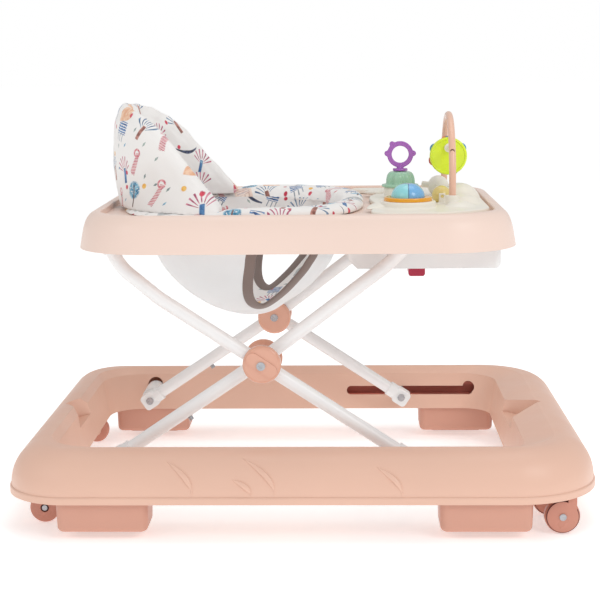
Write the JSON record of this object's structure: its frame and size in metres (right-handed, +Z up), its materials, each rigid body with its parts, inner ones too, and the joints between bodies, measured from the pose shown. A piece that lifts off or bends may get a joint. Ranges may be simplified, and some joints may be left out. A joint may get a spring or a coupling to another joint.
{
  "type": "baby walker",
  "caption": "Baby walker with a moulded ring base on wheels, a folding scissor frame, and a tray with a padded sling seat and toys.",
  "frame": {"origin": "middle of the base ring, on the floor under the wheels", "axes": "+X to the front (toy side), +Y to the left, +Z up"},
  "size_m": [0.76, 0.59, 0.5391],
  "materials": {
    "base_plastic": "satin moulded",
    "wheel_plastic": "satin moulded",
    "tray_plastic": "satin moulded",
    "cream_plastic": "satin moulded",
    "white_plastic": "satin moulded",
    "white_paint": "satin powder coat",
    "steel": "bright zinc",
    "grip_rubber": "matt",
    "track_plastic": "matt",
    "crimson_plastic": "glossy",
    "seat_fabric": "printed woven cotton",
    "sling_fabric": "plain woven polyester",
    "arch_plastic": "satin moulded",
    "orange_plastic": "glossy",
    "green_plastic": "glossy",
    "purple_plastic": "glossy",
    "blue_plastic": "glossy",
    "yellow_plastic": "glossy",
    "star_plastic": "glossy"
  },
  "bodies": {
    "base": {"base_shell": "base_plastic", "front_stoppers": "base_plastic", "rear_stoppers": "base_plastic", "stopper_grip_pads": "grip_rubber", "stopper_screws": "steel", "slide_tracks": "track_plastic", "rear_pivot_bosses": "white_plastic", "rear_pivot_pins": "steel", "castor_washers": "steel", "rear_wheel_brackets": "base_plastic", "rear_axles": "steel"},
    "strut_b": {"tube_b_left": "white_paint", "tube_b_right": "white_paint", "tube_b_lower_fittings": "white_plastic", "tube_b_upper_fittings": "white_plastic", "top_cross_bar": "white_paint", "cross_bolts": "steel", "inner_pivot_covers": "base_plastic", "fold_stop_buttons": "steel"},
    "strut_a": {"tube_a_left": "white_paint", "tube_a_right": "white_paint", "tube_a_lower_fittings": "white_plastic", "tube_a_upper_fittings": "white_plastic", "slider_rollers": "steel", "outer_pivot_covers": "base_plastic", "outer_cover_screws": "steel"},
    "tray": {"tray_body": "tray_plastic", "tray_hinge_brackets": "steel", "height_housing": "white_plastic", "seat_back": "seat_fabric", "seat_collar": "seat_fabric", "seat_sling": "sling_fabric", "toy_panel": "cream_plastic", "toy_arch": "arch_plastic", "spinner_spindle": "cream_plastic", "orange_ring": "orange_plastic"},
    "lever": {"height_lever": "crimson_plastic", "lever_spring": "steel"},
    "knob": {"green_knob": "green_plastic", "purple_ring": "purple_plastic"},
    "button": {"push_dome": "blue_plastic", "button_spring": "steel"},
    "spinner": {"spinner_disc": "yellow_plastic", "spinner_star": "star_plastic"},
    "ball": {"ball_roller": "yellow_plastic"},
    "rocker": {"rocking_toy": "cream_plastic"},
    "rear_wheel_left": {"rear_wheel_left": "wheel_plastic"},
    "rear_wheel_right": {"rear_wheel_right": "wheel_plastic"},
    "castor_outer_left": {"castor_fork_outer_left": "wheel_plastic", "castor_axle_outer_left": "steel"},
    "castor_wheel_outer_left": {"castor_wheel_outer_left": "wheel_plastic"},
    "castor_outer_right": {"castor_fork_outer_right": "wheel_plastic", "castor_axle_outer_right": "steel"},
    "castor_wheel_outer_right": {"castor_wheel_outer_right": "wheel_plastic"},
    "castor_inner_left": {"castor_fork_inner_left": "wheel_plastic", "castor_axle_inner_left": "steel"},
    "castor_wheel_inner_left": {"castor_wheel_inner_left": "wheel_plastic"},
    "castor_inner_right": {"castor_fork_inner_right": "wheel_plastic", "castor_axle_inner_right": "steel"},
    "castor_wheel_inner_right": {"castor_wheel_inner_right": "wheel_plastic"}
  },
  "joints": [
    {"name": "fold", "type": "hinge", "parent": "base", "child": "strut_b", "pos_m": [-0.246, 0, 0.076], "axis": [0, -1, 0], "range_deg": [-25, 12]},
    {"name": "cross", "type": "hinge", "parent": "strut_b", "child": "strut_a", "pos_m": [-0.052, 0, 0.207], "axis": [0, -1, 0], "range_deg": [-26, 50]},
    {"name": "tray_level", "type": "hinge", "parent": "strut_a", "child": "tray", "pos_m": [-0.252, 0, 0.37], "axis": [0, -1, 0], "range_deg": [-25, 12]},
    {"name": "lever_squeeze", "type": "slide", "parent": "tray", "child": "lever", "axis": [0, 0, 1], "range_m": [0, 0.005], "stiffness_N_per_m": 200, "springref_m": -0.002, "deforming": ["lever_spring"]},
    {"name": "knob_turn", "type": "hinge", "parent": "tray", "child": "knob", "pos_m": [0.134, 0.02, 0.43], "axis": [0, 0, 1], "continuous": true},
    {"name": "button_press", "type": "slide", "parent": "tray", "child": "button", "axis": [0, 0, -1], "range_m": [0, 0.004], "stiffness_N_per_m": 200, "springref_m": -0.002, "deforming": ["button_spring"]},
    {"name": "spinner_spin", "type": "hinge", "parent": "tray", "child": "spinner", "pos_m": [0.2, 0, 0.472], "axis": [0, 1, 0], "continuous": true},
    {"name": "ball_roll", "type": "hinge", "parent": "tray", "child": "ball", "pos_m": [0.188, -0.042, 0.41], "axis": [0, 1, 0], "continuous": true},
    {"name": "rocker_tilt", "type": "hinge", "parent": "tray", "child": "rocker", "pos_m": [0.19, 0.06, 0.414], "axis": [0, 1, 0], "range_deg": [-12, 12]},
    {"name": "castor_swivel_outer_left", "type": "hinge", "parent": "base", "child": "castor_outer_left", "pos_m": [0.341, 0.251, 0.05], "axis": [0, 0, 1], "continuous": true},
    {"name": "castor_roll_outer_left", "type": "hinge", "parent": "castor_outer_left", "child": "castor_wheel_outer_left", "pos_m": [0.329, 0.251, 0.0225], "axis": [0, 1, 0], "continuous": true},
    {"name": "castor_swivel_outer_right", "type": "hinge", "parent": "base", "child": "castor_outer_right", "pos_m": [0.341, -0.251, 0.05], "axis": [0, 0, 1], "continuous": true},
    {"name": "castor_roll_outer_right", "type": "hinge", "parent": "castor_outer_right", "child": "castor_wheel_outer_right", "pos_m": [0.329, -0.251, 0.0225], "axis": [0, 1, 0], "continuous": true},
    {"name": "castor_swivel_inner_left", "type": "hinge", "parent": "base", "child": "castor_inner_left", "pos_m": [0.335, 0.176, 0.05], "axis": [0, 0, 1], "continuous": true},
    {"name": "castor_roll_inner_left", "type": "hinge", "parent": "castor_inner_left", "child": "castor_wheel_inner_left", "pos_m": [0.323, 0.176, 0.0225], "axis": [0, 1, 0], "continuous": true},
    {"name": "castor_swivel_inner_right", "type": "hinge", "parent": "base", "child": "castor_inner_right", "pos_m": [0.335, -0.176, 0.05], "axis": [0, 0, 1], "continuous": true},
    {"name": "castor_roll_inner_right", "type": "hinge", "parent": "castor_inner_right", "child": "castor_wheel_inner_right", "pos_m": [0.323, -0.176, 0.0225], "axis": [0, 1, 0], "continuous": true},
    {"name": "rear_roll_left", "type": "hinge", "parent": "base", "child": "rear_wheel_left", "pos_m": [-0.338, 0.204, 0.0195], "axis": [0, 1, 0], "continuous": true},
    {"name": "rear_roll_right", "type": "hinge", "parent": "base", "child": "rear_wheel_right", "pos_m": [-0.338, -0.204, 0.0195], "axis": [0, 1, 0], "continuous": true}
  ],
  "couplings": [
    {"joint": "cross", "follows": "fold", "ratio": -2},
    {"joint": "tray_level", "follows": "fold", "ratio": 1}
  ]
}
